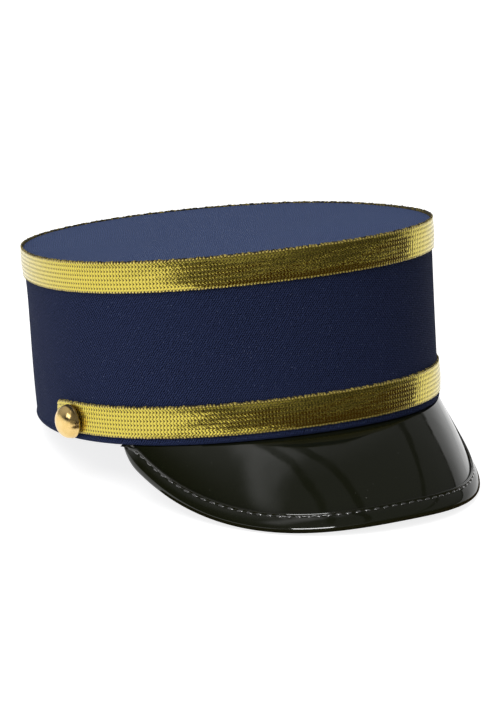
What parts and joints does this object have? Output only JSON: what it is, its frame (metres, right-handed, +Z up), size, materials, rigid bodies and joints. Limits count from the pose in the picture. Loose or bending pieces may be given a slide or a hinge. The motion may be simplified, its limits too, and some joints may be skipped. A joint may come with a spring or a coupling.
{
  "type": "conductor costume hat",
  "caption": "Flat-topped round cloth cap with metallic braid round its top edge and across its front, domed side buttons and a stiff glossy peak, worn as a train conductor's costume hat.",
  "frame": {"origin": "on the table under the middle of the hat's bounding box, with the hat standing by itself on the back of its rim and on the edge of its peak", "axes": "+Z up from the table, +Y towards the back of the hat, +X towards the wearer's left; the peak points along -Y and the crown leans back by about 10 degrees"},
  "size_m": [0.1976, 0.247, 0.1155],
  "materials": {
    "navy_cloth": "matt navy twill with a fine diagonal weave",
    "gold_braid": "woven metallic gold thread with lengthwise ribs",
    "brass": "polished stamped metal with a pale gold plating",
    "patent_black": "glossy black patent sheet"
  },
  "bodies": {
    "root": {"crown_wall": "navy_cloth", "crown_top": "navy_cloth", "top_braid": "gold_braid", "front_braid": "gold_braid", "button_right": "brass", "button_left": "brass", "peak": "patent_black", "peak_binding": "patent_black"}
  },
  "joints": []
}
